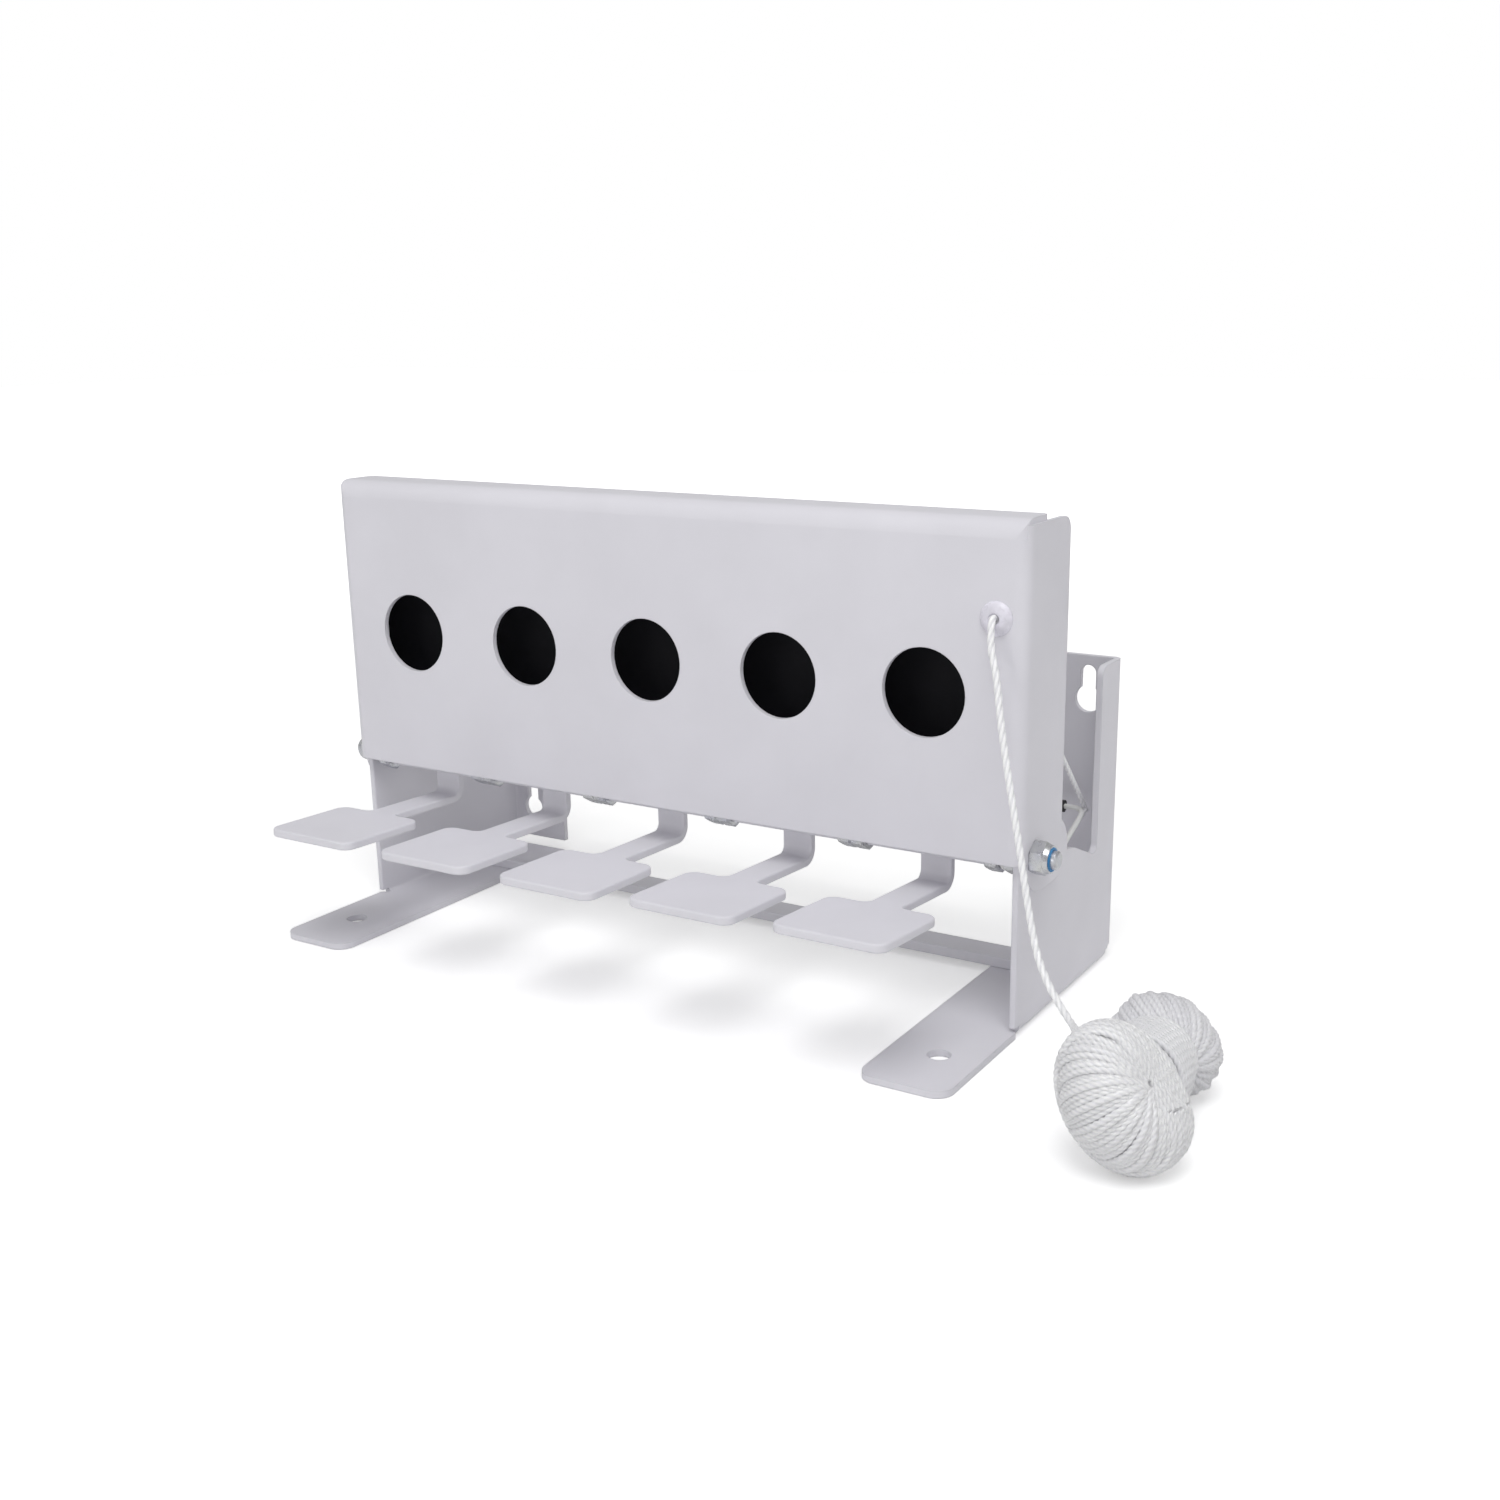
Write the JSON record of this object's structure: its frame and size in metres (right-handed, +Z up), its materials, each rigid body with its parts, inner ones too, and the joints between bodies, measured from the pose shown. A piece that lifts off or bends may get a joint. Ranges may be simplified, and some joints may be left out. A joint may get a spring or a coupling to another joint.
{
  "type": "knock-down target box",
  "caption": "White steel knock-down target box: round apertures with black falling plates behind them, white indicator paddles in front, folded side brackets and a pull-cord reset bail.",
  "frame": {"origin": "on the floor, midway between the screw holes of the two feet", "axes": "+X to the right when facing the apertures, +Y to the back, +Z up"},
  "size_m": [0.483, 0.223, 0.2195],
  "materials": {
    "white_coat": "white powder coat, fine orange peel, semi-gloss",
    "black_coat": "black powder coat, satin",
    "bail_coat": "white coated wire, semi-gloss",
    "zinc_steel": "bright zinc plate",
    "blue_nylon": "nylon ring",
    "black_rubber": "matt rubber hose",
    "white_plastic": "moulded white plastic",
    "white_cord": "three-strand twisted synthetic cord, glossy"
  },
  "bodies": {
    "stand": {"hood": "white_coat", "left_bracket": "white_coat", "right_bracket": "white_coat", "cross_bar": "white_coat", "stop_bar": "white_coat", "hinge_rod": "zinc_steel", "spacer_nuts": "zinc_steel", "left_lock_nut": "zinc_steel", "right_lock_nut": "zinc_steel", "left_nut_ring": "blue_nylon", "right_nut_ring": "blue_nylon", "cord_grommet": "white_plastic", "inner_cord": "white_cord", "pull_cord": "white_cord"},
    "lever_1": {"hub_1": "white_coat", "paddle_1": "white_coat", "target_plate_1": "black_coat"},
    "lever_2": {"hub_2": "white_coat", "paddle_2": "white_coat", "target_plate_2": "black_coat"},
    "lever_3": {"hub_3": "white_coat", "paddle_3": "white_coat", "target_plate_3": "black_coat"},
    "lever_4": {"hub_4": "white_coat", "paddle_4": "white_coat", "target_plate_4": "black_coat"},
    "lever_5": {"hub_5": "white_coat", "paddle_5": "white_coat", "target_plate_5": "black_coat"},
    "bail": {"reset_bail": "bail_coat", "bail_sleeve": "black_rubber"},
    "cord": {"cord_hank": "white_cord"}
  },
  "joints": [
    {"name": "lever_1_fall", "type": "hinge", "parent": "stand", "child": "lever_1", "pos_m": [-0.1433, 0.0443, 0.079], "axis": [1, 0, 0], "range_deg": [-83.5, 0]},
    {"name": "lever_2_fall", "type": "hinge", "parent": "stand", "child": "lever_2", "pos_m": [-0.0733, 0.0443, 0.079], "axis": [1, 0, 0], "range_deg": [-83.5, 0]},
    {"name": "lever_3_fall", "type": "hinge", "parent": "stand", "child": "lever_3", "pos_m": [-0.0033, 0.0443, 0.079], "axis": [1, 0, 0], "range_deg": [-83.5, 0]},
    {"name": "lever_4_fall", "type": "hinge", "parent": "stand", "child": "lever_4", "pos_m": [0.0667, 0.0443, 0.079], "axis": [1, 0, 0], "range_deg": [-83.5, 0]},
    {"name": "lever_5_fall", "type": "hinge", "parent": "stand", "child": "lever_5", "pos_m": [0.1367, 0.0443, 0.079], "axis": [1, 0, 0], "range_deg": [-83.5, 0]},
    {"name": "cord_pull", "type": "slide", "parent": "stand", "child": "cord", "axis": [0, -1, 0], "range_m": [0, 0.11], "deforming": ["pull_cord"]},
    {"name": "bail_lift", "type": "hinge", "parent": "stand", "child": "bail", "pos_m": [0, 0.0443, 0.079], "axis": [1, 0, 0], "range_deg": [0, 83.7], "deforming": ["inner_cord"]}
  ],
  "couplings": [
    {"joint": "bail_lift", "follows": "cord_pull", "rad_per_m": 13.249}
  ]
}
